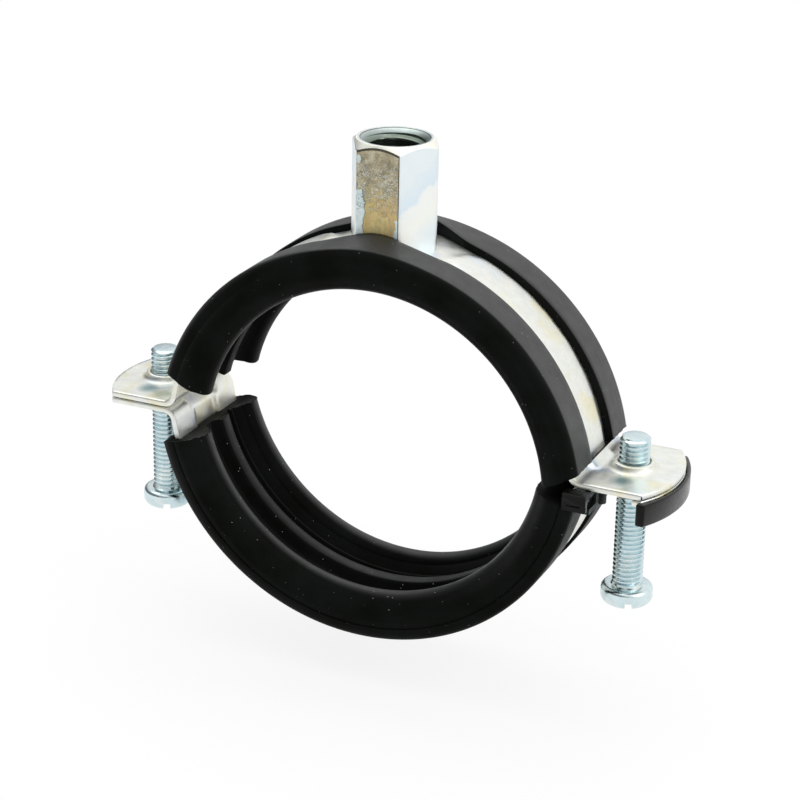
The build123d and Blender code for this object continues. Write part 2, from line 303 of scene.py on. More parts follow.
class Shader:
    """A Principled material whose textures are laid in millimetres on the piece itself."""

    def __init__(self, name, **fixed):
        self.material = bpy.data.materials.new(name)
        self.material.use_nodes = True
        self.nodes = self.material.node_tree.nodes
        self.links = self.material.node_tree.links
        self.surface = self.nodes["Principled BSDF"]
        for socket, value in fixed.items():
            self.surface.inputs[socket.replace("_", " ")].default_value = value
        place = self.add("ShaderNodeTexCoord")
        scale = self.add("ShaderNodeMapping", Vector=place.outputs["Object"])
        scale.inputs["Scale"].default_value = (1 / MM, 1 / MM, 1 / MM)
        self.place = scale.outputs["Vector"]

    def add(self, kind, **inputs):
        node = self.nodes.new(kind)
        for socket, value in inputs.items():
            self.put(node.inputs[socket.replace("_", " ")], value)
        return node

    def put(self, socket, value):
        if isinstance(value, bpy.types.NodeSocket):
            self.links.new(value, socket)
        else:
            socket.default_value = value

    def noise(self, scale, detail=3.0, roughness=0.55, stretch=None, seed=0.0, distortion=0.0):
        """Noise with features about 1/scale millimetres wide."""
        mapping = self.add("ShaderNodeMapping", Vector=self.place)
        mapping.inputs["Scale"].default_value = stretch or (1, 1, 1)
        mapping.inputs["Location"].default_value = (seed, seed * 1.7, -seed)
        node = self.add("ShaderNodeTexNoise", Vector=mapping.outputs["Vector"], Scale=scale, Detail=detail,
                        Roughness=roughness, Distortion=distortion)
        return node.outputs["Fac"]

    def ramp(self, value, *stops):
        """Colour ramp through (position, colour or grey) stops."""
        node = self.add("ShaderNodeValToRGB", Fac=value)
        ramp = node.color_ramp
        while len(ramp.elements) < len(stops):
            ramp.elements.new(0.5)
        for element, (position, colour) in zip(ramp.elements, stops):
            element.position = position
            element.color = (*colour, 1) if isinstance(colour, tuple) else (colour, colour, colour, 1)
        return node.outputs["Color"]

    def mix(self, factor, first, second, blend="MIX"):
        node = self.nodes.new("ShaderNodeMix")
        node.data_type = "RGBA"
        node.blend_type = blend
        self.put(node.inputs[0], factor)
        self.put(node.inputs[6], (*first, 1) if isinstance(first, tuple) else first)
        self.put(node.inputs[7], (*second, 1) if isinstance(second, tuple) else second)
        return node.outputs[2]

    def math(self, operation, first, second=0.0, clamp=False):
        node = self.nodes.new("ShaderNodeMath")
        node.operation = operation
        node.use_clamp = clamp
        self.put(node.inputs[0], first)
        self.put(node.inputs[1], second)
        return node.outputs[0]

    def axes(self, vector):
        split = self.add("ShaderNodeSeparateXYZ", Vector=vector)
        return split.outputs["X"], split.outputs["Y"], split.outputs["Z"]

    def share(self, value, start, span, clamp=False):
        """How far a value has come from a start, in parts of a span."""
        return self.math("DIVIDE", self.math("SUBTRACT", value, start), span, clamp)

    def length(self, first, second):
        """Length of the slant over two legs."""
        squares = (self.math("MULTIPLY", leg, leg) for leg in (first, second))
        return self.math("SQRT", self.math("ADD", *squares))

    def colour(self, value):
        self.put(self.surface.inputs["Base Color"], value)

    def rough(self, value):
        self.put(self.surface.inputs["Roughness"], value)

    def bump(self, *layers):
        """Stack bumps given as (height, depth in millimetres)."""
        normal = None
        for height, depth in layers:
            node = self.add("ShaderNodeBump", Height=height, Distance=depth * MM)
            if normal:
                self.put(node.inputs["Normal"], normal)
            normal = node.outputs["Normal"]
        self.put(self.surface.inputs["Normal"], normal)


def zinc(name, cool, plain, warm, patch, roughness, streak=(0.15, 1.4, 1.4), spot=False):
    """Zinc plate: cloudy blue and yellow patches, fine streaks and scuffs, and with spot a painted reflection
    of each screw in front of its collar.
    """
    s = Shader(name, Metallic=1.0)
    cloud = s.noise(patch, detail=4, distortion=0.6)
    tint = s.ramp(cloud, (0.34, cool), (0.46, plain), (0.54, plain), (0.66, warm))
    grime = s.ramp(s.noise(0.6, detail=6, roughness=0.7, seed=3), (0.35, 0.93), (0.6, 1.0))
    streaks = s.ramp(s.noise(2.2, detail=4, stretch=streak, seed=7), (0.3, 0.94), (0.65, 1.0))
    shade = s.mix(1.0, s.mix(1.0, tint, grime, "MULTIPLY"), streaks, "MULTIPLY")
    if spot:
        # Painted reflection of the screw: a dull blue green patch on the ear's top in front of each collar
        x, y, z = s.axes(s.place)
        along = s.share(s.math("ABSOLUTE", x), SCREW_REACH, SCREW_REFLECTION_HALF_WIDTH)
        ahead = s.share(y, SCREW_REFLECTION_Y, SCREW_REFLECTION_HALF_LENGTH)
        on_top = s.math("LESS_THAN", s.math("ABSOLUTE", s.math("SUBTRACT", z, BAND_THICKNESS)), 0.2)
        near = s.math("MULTIPLY", s.ramp(s.length(along, ahead), (0.25, 0.85), (1.0, 0.0)), on_top)
        shade = s.mix(near, shade, (0.22, 0.35, 0.36))
    s.colour(shade)
    gloss = s.ramp(s.noise(0.35, detail=5, seed=11), (0.35, roughness[0]), (0.7, roughness[1]))
    scuff = s.ramp(s.noise(5.0, detail=3, stretch=streak, seed=13), (0.55, 0.0), (0.75, 0.10))
    s.rough(s.mix(1.0, gloss, scuff, "ADD"))
    s.bump((s.noise(0.4, detail=2, seed=5), 0.018), (s.noise(9.0, detail=4, seed=9), 0.005))
    return s.material


def rubber(name, center_z, shine=1.0):
    """Matt extruded rubber: black face on, a grey sheen at a slant on the lips, and specks of dust. The sheen
    is partly painted light: painted shade dims it on the inner faces, and it is kept to faces turned up.
    """
    s = Shader(name)
    x, _, z = s.axes(s.place)
    # Painted light in the gloss: the sheen is dimmed on the inner faces by their reach from the ring's
    # centre, most in the grooves, as painted shade, and is kept to faces turned up, as if lit from above
    reach = s.length(x, s.math("SUBTRACT", z, center_z))
    shade_by_reach = s.ramp(s.share(reach, 30.0, 8.0),
                  (0.02, 0.75), (0.12, 0.45), (0.35, 0.15), (0.78, 0.3), (0.88, 1.0))
    up = s.axes(s.add("ShaderNodeNewGeometry").outputs["Normal"])[2]
    lit_from_above = s.ramp(s.math("ADD", s.math("MULTIPLY", up, 0.5), 0.5), (0.42, 0.12), (0.62, 1.0))
    facing = s.add("ShaderNodeLayerWeight", Blend=0.5).outputs["Facing"]
    gloss = s.ramp(facing, (0.16, 0.05), (0.48, 0.85))
    gloss = s.math("MULTIPLY", s.math("MULTIPLY", gloss, shade_by_reach), s.math("MULTIPLY", lit_from_above, shine))
    s.put(s.surface.inputs["Specular IOR Level"], gloss)
    haze = s.ramp(s.noise(0.12, detail=5, roughness=0.6), (0.35, 0.0), (0.75, 1.0))
    body = s.mix(haze, (0.0045, 0.0052, 0.0042), (0.0085, 0.0095, 0.009))
    cells = s.add("ShaderNodeTexVoronoi", Vector=s.place, Scale=0.85)
    speck = s.math("LESS_THAN", cells.outputs["Distance"], 0.062)
    lot = s.add("ShaderNodeSeparateColor", Color=cells.outputs["Color"])
    chosen = s.math("GREATER_THAN", lot.outputs["Red"], 0.35)
    dust = s.math("MULTIPLY", s.math("MULTIPLY", speck, chosen), lot.outputs["Green"])
    s.colour(s.mix(dust, body, (0.60, 0.61, 0.60)))
    s.rough(s.ramp(s.noise(0.4, detail=5, seed=2), (0.3, 0.42), (0.7, 0.56)))
    s.bump((s.noise(1.2, detail=3, seed=8), 0.02), (s.noise(14.0, detail=2, seed=6), 0.012))
    return s.material


def plastic(name):
    """Black moulded plastic, slightly waxy."""
    s = Shader(name)
    facing = s.add("ShaderNodeLayerWeight", Blend=0.5).outputs["Facing"]
    s.put(s.surface.inputs["Specular IOR Level"], s.ramp(facing, (0.15, 0.12), (0.6, 0.6)))
    s.colour(s.ramp(s.noise(0.5, detail=4), (0.3, (0.004, 0.004, 0.004)), (0.7, (0.008, 0.008, 0.007))))
    s.rough(s.ramp(s.noise(0.8, detail=4, seed=3), (0.3, 0.22), (0.7, 0.34)))
    s.bump((s.noise(0.9, detail=2, seed=5), 0.03), (s.noise(11.0, detail=3, seed=7), 0.008))
    return s.material


def boss_zinc(name):
    """Zinc on the welded boss: ochre and olive patches and spatter on the front flat, bluish flats, and a
    bore darkened by painted shade.
    """
    s = Shader(name, Metallic=1.0)
    x, y, z = s.axes(s.place)
    reach = s.length(x, y)
    front = s.math("LESS_THAN", y, -BOSS_HALF_FLATS + 0.1)
    wander = s.math("SUBTRACT", s.noise(0.45, detail=6, roughness=0.65, seed=21), 0.5)
    wander = s.math("MULTIPLY", wander, 3.2)
    sway = s.math("MULTIPLY", wander, 0.7)

    # Flats: light blue above, cream below, parted along a slant
    slant = s.math("SUBTRACT", z, s.math("MULTIPLY", y, 0.9))
    band = s.math("ADD", s.share(slant, 34.0, 14.0), s.math("MULTIPLY", wander, 0.12))
    shade = s.ramp(band, (0.10, (0.78, 0.85, 0.87)), (0.38, (0.88, 0.89, 0.84)), (0.66, (0.86, 0.88, 0.86)),
                   (0.72, (0.70, 0.80, 0.86)), (1.0, (0.78, 0.84, 0.86)))

    # Front flat: olive grey above, ochre below
    ochre = s.ramp(s.noise(0.45, detail=6, roughness=0.7, stretch=(1.4, 1.4, 0.35), seed=5),
                   (0.36, (0.34, 0.36, 0.24)), (0.47, (0.52, 0.43, 0.19)), (0.56, (0.66, 0.48, 0.22)),
                   (0.64, (0.42, 0.36, 0.22)))
    olive = s.ramp(s.noise(0.8, detail=6, roughness=0.7, seed=25),
                   (0.36, (0.24, 0.23, 0.16)), (0.50, (0.44, 0.37, 0.24)), (0.64, (0.56, 0.54, 0.42)))
    stain = s.mix(s.share(s.math("ADD", z, wander), 39.5, 4.0, clamp=True), ochre, olive)

    # Pale spatter as thin crooked lines over the middle
    worm = s.noise(0.7, detail=3, roughness=0.6, distortion=2.2, seed=9)
    worm = s.math("ABSOLUTE", s.math("SUBTRACT", worm, 0.5))
    zone = s.ramp(s.share(z, 36.0, 12.0), (0.10, 0.1), (0.4, 0.85), (0.75, 0.8), (0.9, 0.1))
    lines = s.math("MULTIPLY", s.ramp(worm, (0.014, 1.0), (0.045, 0.0)), zone)
    stain = s.mix(lines, stain, (0.72, 0.74, 0.66))

    # Bare zinc along the left edge, in a blob above it and in the lower right corner
    low = s.math("LESS_THAN", z, s.math("ADD", wander, 41.5))
    margin = s.math("SUBTRACT", s.math("MULTIPLY", low, 1.3), 3.6)
    side = s.math("SUBTRACT", s.math("ADD", x, sway), margin)
    blob = s.add("ShaderNodeVectorMath", Vector=s.place)
    blob.operation = "DISTANCE"
    blob.inputs[1].default_value = (-3.3, -BOSS_HALF_FLATS, 46.6)
    spot = s.math("LESS_THAN", s.math("ADD", blob.outputs["Value"], wander), 0.75)
    left = s.math("MAXIMUM", s.math("LESS_THAN", side, 0.0), spot)
    right = s.math("GREATER_THAN", s.math("SUBTRACT", x, sway), 2.9)
    corner = s.math("MULTIPLY", right, s.math("LESS_THAN", z, 37.4))
    stain = s.mix(s.math("MAXIMUM", left, corner), stain, (0.66, 0.76, 0.76))
    brim = s.math("LESS_THAN", s.math("ABSOLUTE", side), 0.09)
    stain = s.mix(s.math("MULTIPLY", brim, 0.7), stain, (0.12, 0.13, 0.10))

    # Painted shade: a dark line at the right and upper edges of the front flat, where it turns into the next
    # flat and the chamfer
    fall = s.math("MULTIPLY", s.math("SUBTRACT", reach, BOSS_FLAT_RADIUS), 0.81)
    rim = s.math("SUBTRACT", BOSS_TOP - 0.42, fall)
    outline = s.math("MAXIMUM", s.math("GREATER_THAN", x, 3.52), s.math("GREATER_THAN", z, rim))
    stain = s.mix(s.math("MULTIPLY", outline, 0.9), stain, (0.05, 0.05, 0.04))
    shade = s.mix(front, shade, stain)

    # Turned top: cream, with a painted shade line round the mouth; greenish inside the bore, with painted
    # shade that grows darker deeper down
    top = s.math("GREATER_THAN", z, s.math("ADD", rim, 0.32))
    shade = s.mix(top, shade, (0.88, 0.88, 0.80))
    mouth = s.math("LESS_THAN", s.math("ABSOLUTE", s.math("SUBTRACT", reach, BOSS_MOUTH + 0.02)), 0.09)
    shade = s.mix(mouth, shade, (0.16, 0.18, 0.16))
    bore = s.math("LESS_THAN", reach, BOSS_MOUTH - 0.08)
    bore_shade = s.ramp(s.share(z, 44.0, 4.9), (0.2, (0.06, 0.07, 0.06)), (0.75, (0.20, 0.24, 0.20)),
                  (0.88, (0.34, 0.40, 0.38)), (1.0, (0.56, 0.62, 0.60)))
    s.colour(s.mix(bore, shade, bore_shade))
    dull = s.math("MULTIPLY", top, s.math("GREATER_THAN", reach, BOSS_MOUTH))
    gloss = s.ramp(s.noise(0.6, detail=5, seed=12), (0.3, 0.26), (0.7, 0.46))
    s.rough(s.mix(dull, gloss, (0.6, 0.6, 0.6)))
    beads = s.math("MULTIPLY", lines, front)
    s.bump((s.noise(0.7, detail=4, seed=6), 0.03), (beads, 0.05), (s.noise(8.0, detail=4, seed=15), 0.010))
    return s.material


band_steel = zinc("band_steel", (0.80, 0.86, 0.92), (0.90, 0.91, 0.86), (0.90, 0.87, 0.67),
                  patch=0.13, roughness=(0.32, 0.46), spot=True)
screw_steel = zinc("screw_steel", (0.56, 0.72, 0.78), (0.68, 0.81, 0.84), (0.80, 0.87, 0.86),
                   patch=0.25, roughness=(0.18, 0.30), streak=(1, 1, 1))
boss_steel = boss_zinc("boss_steel")
collar_steel = zinc("collar_steel", (0.78, 0.83, 0.86), (0.85, 0.86, 0.80), (0.84, 0.81, 0.64),
                    patch=0.2, roughness=(0.42, 0.55))
upper_rubber = rubber("upper_rubber", -RING_SINK)
lower_rubber = rubber("lower_rubber", RING_SINK)
cut_rubber = rubber("cut_rubber", 0.0, shine=0.12)
catch_plastic = plastic("catch_plastic")


# ---- Rubber linings ----------------------------------------------------------------------

def lining_profile(crease):
    """Front half of the rubber section as (radius, distance from the middle), from the rib to the lip."""
    crest, lip = CREST_RADIUS, LIP_RADIUS
    strip_top, strip_foot, strip_side = BAND_OUTER_RADIUS + 0.03, BAND_INNER_RADIUS - 0.03, HALF_BAND + 0.05
    rib = [(crest + 1.3, 0.0), (crest + 1.32, 1.0), (crest + 1.45, 1.3), (crest + 1.8, 1.5)]
    groove = [(crest + 2.9, 1.85), (crest + 3.1, 2.1), (crest + 3.1, 3.7)]
    ridge = [(crest + 2.95, 3.85), (crest + 2.6, 3.95), (crest + 2.5, 4.1), (crest + 2.55, 4.5)]
    wall = [(crest + 2.0, 5.1), (crest + 1.3, 6.0)]
    bead = [(crest + 2.3 + 2.3 * sin(radians(a)), 8.2 + 2.5 * cos(radians(a))) for a in range(-150, -19, 10)]
    nose = [(crest + 2.1, 11.1), (crest + 2.9, 11.5), (crest + 3.8, 11.7), (crest + 4.7, 11.68)]
    fold = [(crest + 5.0, 11.6), (crest + 5.12, 11.6 - crease), (crest + 5.26, 11.6 - crease),
            (crest + 5.4, 11.58)]
    edge = [(lip - 0.9, 11.55), (lip - 0.42, 11.45), (lip - 0.14, 11.24), (lip - 0.03, 11.0), (lip, 10.7)]
    flap = [(lip, y) for y in (9.6, 8.9, 8.2, 7.5, 6.8, 6.1, LIP_EDGE + 0.3)] + [(lip - 0.1, LIP_EDGE + 0.06)]
    under = [(lip - 0.3, LIP_EDGE), (strip_top, LIP_EDGE), (strip_top, strip_side)]
    seat = [(strip_foot, strip_side), (strip_foot, 5.0)]
    return rib + groove + ridge + wall + bead + nose + fold + edge + flap + under + seat


def place_lip(x, y, radius, from_end, boss):
    """Draw the lip's free edge in at the cut ends; round the boss it gives way and rides up."""
    if radius <= BAND_OUTER_RADIUS:
        return y, radius
    share = min(1.0, (abs(y) - LIP_EDGE) / (LINING_HALF - LIP_EDGE))
    edge = LIP_EDGE - (LIP_EDGE - LIP_END_EDGE) * (1 - smooth(0.0, 8.0, from_end))
    lift = 0.0
    if boss:
        boss_side = BOSS_HALF_FLATS + 0.1
        edge = max(edge, boss_side - (boss_side - LIP_EDGE) * smooth(3.0, 12.5, abs(x)))
        if radius > BAND_OUTER_RADIUS + 0.1:
            lift = LIP_LIFT * (1 - smooth(0.0, 11.0, abs(x))) * (1 - share)
    moved = edge + share * (LINING_HALF - edge) if share < 1 else abs(y)
    return (moved if y > 0 else -moved), radius + lift


def lining(name, node, body, center, ends, slant, crease, boss, material, steps=170):
    """Sweep the rubber section round the ring and soften its cut ends."""
    front = lining_profile(crease)
    section = [(r, -y) for r, y in front] + [(r, y) for r, y in reversed(front[1:])]
    bm = bmesh.new()
    rows = []
    for i in range(steps + 1):
        row = []
        for r, y in section:
            start, end = (at + by * max(0.0, LIP_RADIUS - r) for at, by in zip(ends, slant))
            turn = radians(start + (end - start) * i / steps)
            from_end = min(i, steps - i) * (ends[1] - ends[0]) / steps
            y, r = place_lip(r * cos(turn), y, r, from_end, boss)
            row.append((center[0] + r * cos(turn), y, center[1] + r * sin(turn)))
        rows.append(row)
    made = add_grid(bm, rows, close_columns=True)
    rims = []
    for row in (made[0], made[-1]):
        rims += row_edges(bm, row)
        add_cap(bm, row, 1)
    bmesh.ops.bevel(bm, geom=rims, offset=CUT_EDGE, segments=2, profile=0.5, affect="EDGES")
    piece = piece_from(bm, name, body, material, node, crease=50)
    piece.data.materials.append(cut_rubber)
    return piece


lining("rubber_upper", "upper_lining", "upper_half", UPPER_CENTER, UPPER_ENDS, UPPER_SLANT, UPPER_CREASE,
       True, upper_rubber)
lower_lining = lining("rubber_lower", "lower_lining", "lower_half", LOWER_CENTER, LOWER_ENDS, LOWER_SLANT,
                      LOWER_CREASE, False, lower_rubber)

# The right end is cut back round the catch in a hollow curve
hollow = arc_points(HOLLOW_CENTER, HOLLOW_RADIUS, *HOLLOW_TURN, 10) + HOLLOW_SLOPE
far_x, top, side = 60.0, 8.0, 20.0
outline = [*hollow, (far_x, hollow[-1][1]), (far_x, top), (hollow[0][0], top)]
cut_with(lower_lining, loft(*([(x, y, z) for x, z in outline] for y in (-side, side))))


# ---- Steel band --------------------------------------------------------------------------

def ear_tip(y):
    """X of the rounded ear tip at a distance y from the middle."""
    radius = (HALF_BAND ** 2 + EAR_BULGE ** 2) / (2 * EAR_BULGE)
    return EAR_CORNER + EAR_BULGE - radius + sqrt(radius ** 2 - y ** 2)


def band_section(edge=0.22, columns=44):
    """Closed loop of (y, height through the sheet) round the strip's section."""
    loop = []
    for i in range(columns + 1):
        loop.append((-HALF_BAND + edge + 2 * (HALF_BAND - edge) * i / columns, 0.0))
    loop += [(HALF_BAND - edge * 0.3, edge * 0.3), (HALF_BAND, edge), (HALF_BAND, BAND_THICKNESS / 2),
             (HALF_BAND, BAND_THICKNESS - edge), (HALF_BAND - edge * 0.3, BAND_THICKNESS - edge * 0.3)]
    for i in range(columns + 1):
        loop.append((HALF_BAND - edge - 2 * (HALF_BAND - edge) * i / columns, BAND_THICKNESS))
    loop += [(-HALF_BAND + edge * 0.3, BAND_THICKNESS - edge * 0.3), (-HALF_BAND, BAND_THICKNESS - edge),
             (-HALF_BAND, BAND_THICKNESS / 2), (-HALF_BAND, edge), (-HALF_BAND + edge * 0.3, edge * 0.3)]
    return loop


def rib_push(x, height, y, through):
    """Press the wide corner rib: move a point out along 45 degrees to the rib's skin."""
    depth = BAND_THICKNESS - through
    edge = RIB_EDGE + RIB_EDGE_GROWTH - RIB_EDGE_GROWTH * depth
    if abs(y) >= edge or height > RIB_ZONE or x < BEND_REACH - RIB_ZONE:
        return x, height
    corner = sqrt(BAND_OUTER_RADIUS ** 2 - (RING_SINK + BAND_THICKNESS) ** 2)
    flat = RIB_FLAT - RIB_FLAT_GROWTH + RIB_FLAT_GROWTH * depth
    fall = smooth(flat, edge, abs(y))
    skin = (corner + BAND_THICKNESS) / sqrt(2) + RIB_RISE - depth - RIB_DROP * fall - RIB_CROWN * y * y
    gap = skin - (x + height) / sqrt(2)
    if gap < -6 * RIB_BLEND:
        return x, height
    push = (gap + sqrt(gap * gap + RIB_BLEND ** 2)) / 2
    push *= 1 - fall ** 6
    return x + push / sqrt(2), height + push / sqrt(2)


def long_rib_rise(turn, y):
    """Height of the long rib at an angle round the ring, with a rounded end near the top."""
    near, far = LONG_RIB_TOP
    top = near + (far - near) * (turn - LONG_RIB_START) / (LONG_RIB_END - LONG_RIB_START)
    past = radians(turn - LONG_RIB_END) * BAND_OUTER_RADIUS + top + LONG_RIB_FLANK
    across = sqrt(y * y + max(0.0, past) ** 2)
    start = smooth(LONG_RIB_START - 18, LONG_RIB_START - 4, turn)
    return LONG_RIB_RISE * start * (1 - smooth(top, top + LONG_RIB_FLANK, across))


# Rows along an ear, from its tip to the bend, and how far the sheet's faces are drawn in at the tip
EAR_SHARES = (1.0, 0.997, 0.988, 0.95, 0.9, 0.8, 0.7, 0.6, 0.5, 0.42, 0.36, 0.3, 0.25, 0.2, 0.16, 0.12,
              0.08, 0.04)
EAR_END_SQUEEZE = {1.0: 0.22, 0.997: 0.08}


def band_path(bend_steps=14):
    """Right half of the strip, from the ear to the top, as (share of the ear, point, normal, angle).

    In the bend the angle runs on below the ring's own, which lets the long rib rise there.
    """
    steps = [(share, None, None, None) for share in EAR_SHARES]
    for i in range(bend_steps + 1):
        turn = 1.5 * pi - (pi / 2 - BEND_ANGLE) * i / bend_steps
        normal = (-cos(turn), -sin(turn))
        point = (BEND_REACH - normal[0] * BEND_OUTER_RADIUS,
                 BEND_OUTER_RADIUS - normal[1] * BEND_OUTER_RADIUS)
        steps.append((0.0, point, normal, LONG_RIB_START - 1.5 * (bend_steps - i)))
    turn = BEND_ANGLE
    while turn < pi / 2 - 0.001:
        turn = min(pi / 2, turn + radians(0.5 if turn < BEND_ANGLE + 0.12 else 1.5))
        normal = (cos(turn), sin(turn))
        point = (normal[0] * BAND_INNER_RADIUS, normal[1] * BAND_INNER_RADIUS - RING_SINK)
        steps.append((0.0, point, normal, degrees(turn)))
    return steps


def band_row(step, loop, side, flip, base):
    """One row of points across the strip. flip is 1 for the upper half and -1 for the lower one."""
    share, point, normal, turn = step
    squeeze = EAR_END_SQUEEZE.get(share, 0.0)
    row = []
    for y, through in loop:
        level = min(max(through, squeeze), BAND_THICKNESS - squeeze)
        if point is None:
            x, height = BEND_REACH + share * (ear_tip(y) - BEND_REACH), level
        else:
            level += long_rib_rise(turn, y)
            x, height = point[0] + normal[0] * level, point[1] + normal[1] * level
        x, height = rib_push(x, height, y, through)
        row.append((side * x, y, base + flip * height))
    return row


def band_mesh(flip, base):
    """The whole strip of one half."""
    bm = bmesh.new()
    loop = band_section()
    right = band_path()
    rows = [band_row(step, loop, 1, flip, base) for step in right]
    rows += [band_row(step, loop, -1, flip, base) for step in reversed(right[:-1])]
    made = add_grid(bm, rows, close_columns=True)
    # Quads from the inner face to the outer one close the ears' ends. The loop ends with the five points
    # of a side, so the sixth from its end faces its first
    for row in (made[0], made[-1]):
        facing = len(row) - 6
        for i in range(len(row) // 2 - 1):
            if facing - i - 1 > i + 1:
                bm.faces.new((row[i], row[i + 1], row[facing - i - 1], row[facing - i]))
    return bm


upper_band = piece_from(band_mesh(1, 0.0), "steel_upper", "upper_half", band_steel,
                        "upper_band")
for side, name in ((-1, "collar_left"), (1, "collar_right")):
    cut_with(upper_band, prism(circle(side * SCREW_REACH, COLLAR_BORE + 0.05), *UPPER_EAR_CUT))
    collar = bmesh.new()
    foot = COLLAR_RADIUS + COLLAR_FLARE
    flare = arc_points((foot, BAND_THICKNESS + COLLAR_FLARE), COLLAR_FLARE, 270, 180, 8)
    profile = [(COLLAR_BORE, 0.12), (COLLAR_BORE, COLLAR_TOP - COLLAR_EDGE),
               (COLLAR_BORE + COLLAR_EDGE, COLLAR_TOP), (COLLAR_RADIUS - 0.2, COLLAR_TOP),
               (COLLAR_RADIUS, COLLAR_TOP - COLLAR_EDGE), *reversed(flare),
               (foot, 0.5), (COLLAR_BORE + COLLAR_EDGE, 0.1), (COLLAR_BORE, 0.12)]
    add_lathe(collar, profile, side * SCREW_REACH)
    piece_from(collar, name, "upper_half", collar_steel)

lower_band = piece_from(band_mesh(-1, -EAR_GAP), "steel_lower", "lower_half", band_steel,
                        "lower_band")
cut_with(lower_band, prism(circle(-SCREW_REACH, HOLE_RADIUS), *LOWER_EAR_CUT))
inner_corner = arc_points((SLOT_INNER + SLOT_CORNER, SLOT_END - SLOT_CORNER), SLOT_CORNER, 180, 90, 8)
outer_corner = arc_points((SLOT_OUTER - SLOT_CORNER, SLOT_END - SLOT_CORNER), SLOT_CORNER, 90, 0, 8)
slot = [(SLOT_INNER, -20.0), *inner_corner, *outer_corner, (SLOT_OUTER, -20.0)]
cut_with(lower_band, prism(slot, *LOWER_EAR_CUT))


# ---- Threads -----------------------------------------------------------------------------

def thread_radius(phase, crest, root, sharpness):
    """Radius on a thread's flank at a phase of 0 to 1 along its pitch."""
    wave = 1 - abs(2 * (phase % 1.0) - 1)
    return root + (crest - root) * smooth(0.0, 1.0, (wave - 0.5) * sharpness + 0.5)


def add_thread(bm, center_x, low, high, pitch, radius_at, steps=56, cuts=12):
    """Helical skin between two heights. Its rows follow the thread."""
    turns = (high - low) / pitch
    rows = []
    for k in range(-cuts, int(turns * cuts) + 2):
        row = []
        for i in range(steps + 1):
            around = i / steps
            z = min(max(low + pitch * (k / cuts + around), low), high)
            radius = radius_at(z, (z - low) / pitch - around)
            row.append((center_x + radius * cos(2 * pi * around), radius * sin(2 * pi * around), z))
        rows.append(row)
    return add_grid(bm, rows)


# ---- Screws ------------------------------------------------------------------------------

def screw(name, node, x, turn):
    """M5 cheese head screw with its thread, head down. Turn shifts the thread in parts of its pitch."""
    bm = bmesh.new()
    neck = SCREW_FACE + 0.5

    def radius_at(z, phase):
        radius = thread_radius(phase + turn, SCREW_RADIUS, SCREW_ROOT, 2.6)
        radius = min(radius, SCREW_RADIUS - 0.42 + 1.2 * (SCREW_TIP - z))
        return max(radius, SCREW_RADIUS - 0.05 - 2.0 * (z - neck)) if z < neck + 0.2 else radius

    add_thread(bm, x, neck, SCREW_TIP, SCREW_PITCH, radius_at)
    tip = [(SCREW_ROOT, SCREW_TIP), (SCREW_ROOT - 0.12, SCREW_TIP + 0.02), (0.6, SCREW_TIP + 0.02)]
    bm.faces.new(add_lathe(bm, tip, x, 56)[-1])
    bottom = SCREW_FACE - HEAD_HEIGHT
    upper, lower = HEAD_UPPER_EDGE, HEAD_LOWER_EDGE
    profile = [(SCREW_RADIUS - 0.05, neck), (SCREW_RADIUS + 0.02, SCREW_FACE + 0.15),
               (SCREW_RADIUS + 0.2, SCREW_FACE)]
    profile += arc_points((HEAD_RADIUS - upper, SCREW_FACE - upper), upper, 90, 0, 7)
    profile += arc_points((HEAD_RADIUS - lower, bottom + lower), lower, 0, -90, 10)
    bm.faces.new(add_lathe(bm, [*profile, (0.5, bottom)], x)[-1])
    made = piece_from(bm, name, node, screw_steel, node)
    half, reach = HEAD_SLOT / 2, HEAD_RADIUS + 1
    spin = Matrix.Rotation(radians(HEAD_SLOT_TURN), 2)
    corners = [spin @ Vector(c) for c in ((-reach, -half), (reach, -half), (reach, half), (-reach, half))]
    cut_with(made, prism([(x + c.x, c.y) for c in corners], bottom - 1, bottom + HEAD_SLOT))


screw("threaded_left", "left_screw", -SCREW_REACH, 0.2)
screw("threaded_right", "right_screw", SCREW_REACH, 0.55)


# ---- Threaded boss -----------------------------------------------------------------------

def boss_outline(around):
    """Radius of the hexagon with its drawn corners, at an angle in radians."""
    off_flat = (degrees(around) % 60) - 30
    return min(BOSS_HALF_FLATS / cos(radians(off_flat)), BOSS_CORNER)


